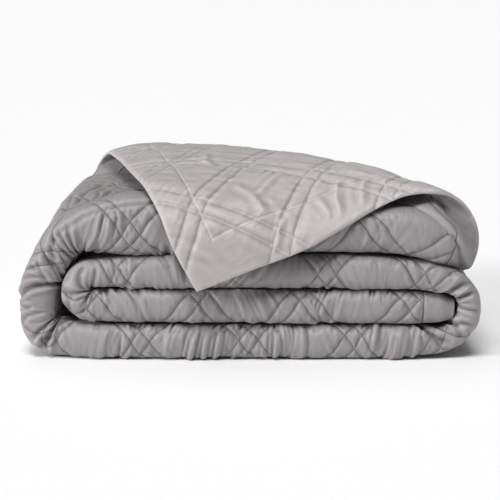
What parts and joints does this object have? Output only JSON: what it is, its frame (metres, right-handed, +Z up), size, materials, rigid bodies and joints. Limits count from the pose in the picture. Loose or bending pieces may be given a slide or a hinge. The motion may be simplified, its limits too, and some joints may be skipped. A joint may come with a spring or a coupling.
{
  "type": "quilted bedspread",
  "caption": "Quilted bedspread folded into a low bundle, mid grey face outwards, a corner of the top layer turned over the front to show the light grey reverse.",
  "frame": {"origin": "centre of the bundle's box, on the surface it rests on", "axes": "+X along the bundle to the open end of the top layer, +Y from the front folds to the back, +Z up"},
  "size_m": [0.5886, 0.4514, 0.2533],
  "materials": {
    "face_cloth": "mid grey cotton satin, quilted in diamonds, soft sheen",
    "reverse_cloth": "light grey cotton satin, quilted in diamonds, soft sheen"
  },
  "bodies": {
    "root": {"face_panel": "face_cloth", "face_border_head": "face_cloth", "face_border_foot": "face_cloth", "face_border_side_a": "face_cloth", "face_border_side_b": "face_cloth", "reverse_panel": "reverse_cloth"}
  },
  "joints": []
}
